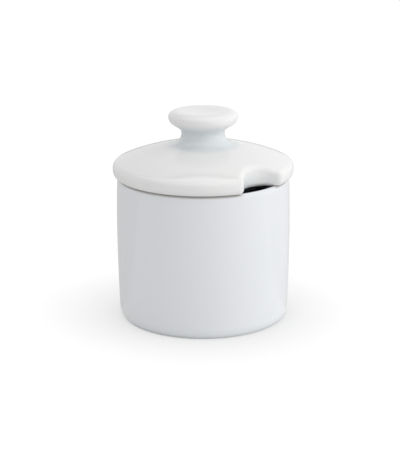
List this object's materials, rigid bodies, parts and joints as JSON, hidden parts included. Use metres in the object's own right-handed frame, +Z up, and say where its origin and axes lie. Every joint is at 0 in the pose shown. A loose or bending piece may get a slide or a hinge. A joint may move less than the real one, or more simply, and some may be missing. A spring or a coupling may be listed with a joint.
{
  "type": "sugar pot",
  "caption": "Straight-sided glazed porcelain sugar pot with a slight barrel, and a lift-off domed lid with a mushroom knob, rolled edge and spoon notch.",
  "frame": {"origin": "middle of the circle that the foot ring rests on, at table height", "axes": "+Z up along the axis of the pot and lid, -Y towards the spoon notch in the lid's edge"},
  "size_m": [0.088, 0.0865, 0.1021],
  "materials": {
    "pot_glaze": "glossy white glaze over the whole pot but its foot ring, which is bare, fine-ground porcelain",
    "lid_glaze": "glossy white glaze, bare on the seat that rests on the pot's rim"
  },
  "bodies": {
    "pot": {"pot": "pot_glaze"},
    "lid": {"lid": "lid_glaze"}
  },
  "joints": [
    {"name": "lid_lift", "type": "slide", "parent": "pot", "child": "lid", "axis": [0, 0, 1], "range_m": [0, 0.09]}
  ]
}
